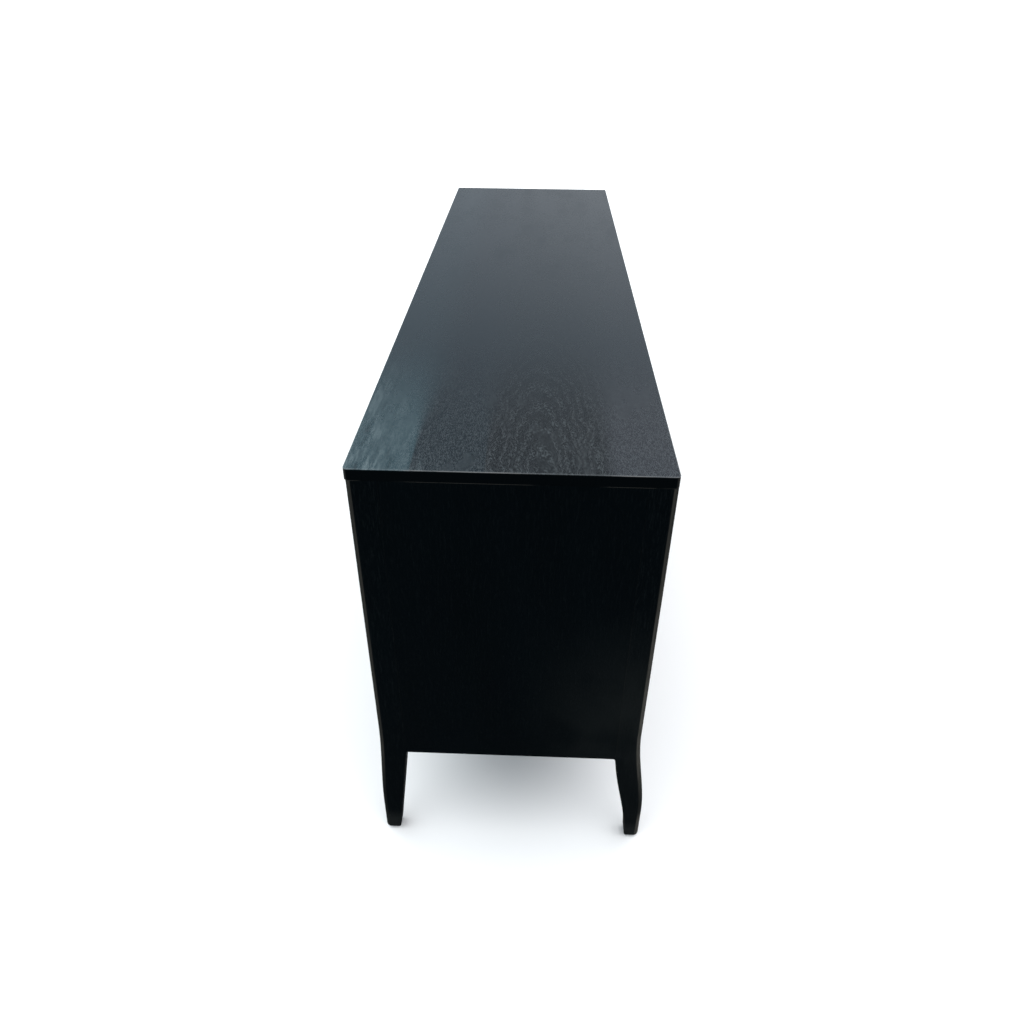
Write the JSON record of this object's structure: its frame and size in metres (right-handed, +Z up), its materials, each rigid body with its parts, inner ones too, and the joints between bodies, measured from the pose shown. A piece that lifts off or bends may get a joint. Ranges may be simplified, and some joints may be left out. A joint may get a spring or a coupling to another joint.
{
  "type": "dresser with drawers",
  "caption": "Long low dresser on sabre legs: black-stained oak case with a flush top, two columns of drawers on wooden runners, and slim bar pulls.",
  "frame": {"origin": "on the floor, at the middle of the whole dresser's footprint with its feet and pulls", "axes": "+X along the length towards the dresser's own right as seen from the front, +Y from the drawer fronts towards the back, +Z up"},
  "size_m": [1.79, 0.523, 0.87],
  "materials": {
    "black_oak": "black-stained open-pore oak, satin lacquer",
    "black_ply": "black-stained plywood, matt",
    "runner_wood": "waxed pale oak",
    "drawer_wood": "clear-lacquered solid birch",
    "drawer_ply": "clear-lacquered birch plywood",
    "pull_bronze": "dark aged bronze",
    "screw_steel": "zinc-plated",
    "glide_nylon": "black nylon"
  },
  "bodies": {
    "case": {"top_panel": "black_oak", "end_panel_left": "black_oak", "end_panel_right": "black_oak", "leg_front_left": "black_oak", "leg_front_right": "black_oak", "leg_back_left": "black_oak", "leg_back_right": "black_oak", "bottom_panel": "black_ply", "centre_partition": "black_ply", "centre_stile": "black_oak", "front_top_rail": "black_oak", "front_bottom_rail": "black_oak", "drawer_rails": "black_oak", "drawer_runners": "runner_wood", "back_rails": "black_ply", "back_panel": "black_ply", "floor_glides": "glide_nylon", "case_screws": "screw_steel"},
    "drawer_upper_left": {"drawer_upper_left_front": "black_oak", "drawer_upper_left_side_left": "drawer_wood", "drawer_upper_left_side_right": "drawer_wood", "drawer_upper_left_back": "drawer_wood", "drawer_upper_left_bottom": "drawer_ply", "drawer_upper_left_pull": "pull_bronze", "drawer_upper_left_pull_screws": "screw_steel"},
    "drawer_upper_right": {"drawer_upper_right_front": "black_oak", "drawer_upper_right_side_left": "drawer_wood", "drawer_upper_right_side_right": "drawer_wood", "drawer_upper_right_back": "drawer_wood", "drawer_upper_right_bottom": "drawer_ply", "drawer_upper_right_pull": "pull_bronze", "drawer_upper_right_pull_screws": "screw_steel"},
    "drawer_middle_left": {"drawer_middle_left_front": "black_oak", "drawer_middle_left_side_left": "drawer_wood", "drawer_middle_left_side_right": "drawer_wood", "drawer_middle_left_back": "drawer_wood", "drawer_middle_left_bottom": "drawer_ply", "drawer_middle_left_pull": "pull_bronze", "drawer_middle_left_pull_screws": "screw_steel"},
    "drawer_middle_right": {"drawer_middle_right_front": "black_oak", "drawer_middle_right_side_left": "drawer_wood", "drawer_middle_right_side_right": "drawer_wood", "drawer_middle_right_back": "drawer_wood", "drawer_middle_right_bottom": "drawer_ply", "drawer_middle_right_pull": "pull_bronze", "drawer_middle_right_pull_screws": "screw_steel"},
    "drawer_lower_left": {"drawer_lower_left_front": "black_oak", "drawer_lower_left_side_left": "drawer_wood", "drawer_lower_left_side_right": "drawer_wood", "drawer_lower_left_back": "drawer_wood", "drawer_lower_left_bottom": "drawer_ply", "drawer_lower_left_pull": "pull_bronze", "drawer_lower_left_pull_screws": "screw_steel"},
    "drawer_lower_right": {"drawer_lower_right_front": "black_oak", "drawer_lower_right_side_left": "drawer_wood", "drawer_lower_right_side_right": "drawer_wood", "drawer_lower_right_back": "drawer_wood", "drawer_lower_right_bottom": "drawer_ply", "drawer_lower_right_pull": "pull_bronze", "drawer_lower_right_pull_screws": "screw_steel"}
  },
  "joints": [
    {"name": "drawer_upper_left_slide", "type": "slide", "parent": "case", "child": "drawer_upper_left", "axis": [0, -1, 0], "range_m": [0, 0.32]},
    {"name": "drawer_upper_right_slide", "type": "slide", "parent": "case", "child": "drawer_upper_right", "axis": [0, -1, 0], "range_m": [0, 0.32]},
    {"name": "drawer_middle_left_slide", "type": "slide", "parent": "case", "child": "drawer_middle_left", "axis": [0, -1, 0], "range_m": [0, 0.32]},
    {"name": "drawer_middle_right_slide", "type": "slide", "parent": "case", "child": "drawer_middle_right", "axis": [0, -1, 0], "range_m": [0, 0.32]},
    {"name": "drawer_lower_left_slide", "type": "slide", "parent": "case", "child": "drawer_lower_left", "axis": [0, -1, 0], "range_m": [0, 0.32]},
    {"name": "drawer_lower_right_slide", "type": "slide", "parent": "case", "child": "drawer_lower_right", "axis": [0, -1, 0], "range_m": [0, 0.32]}
  ]
}
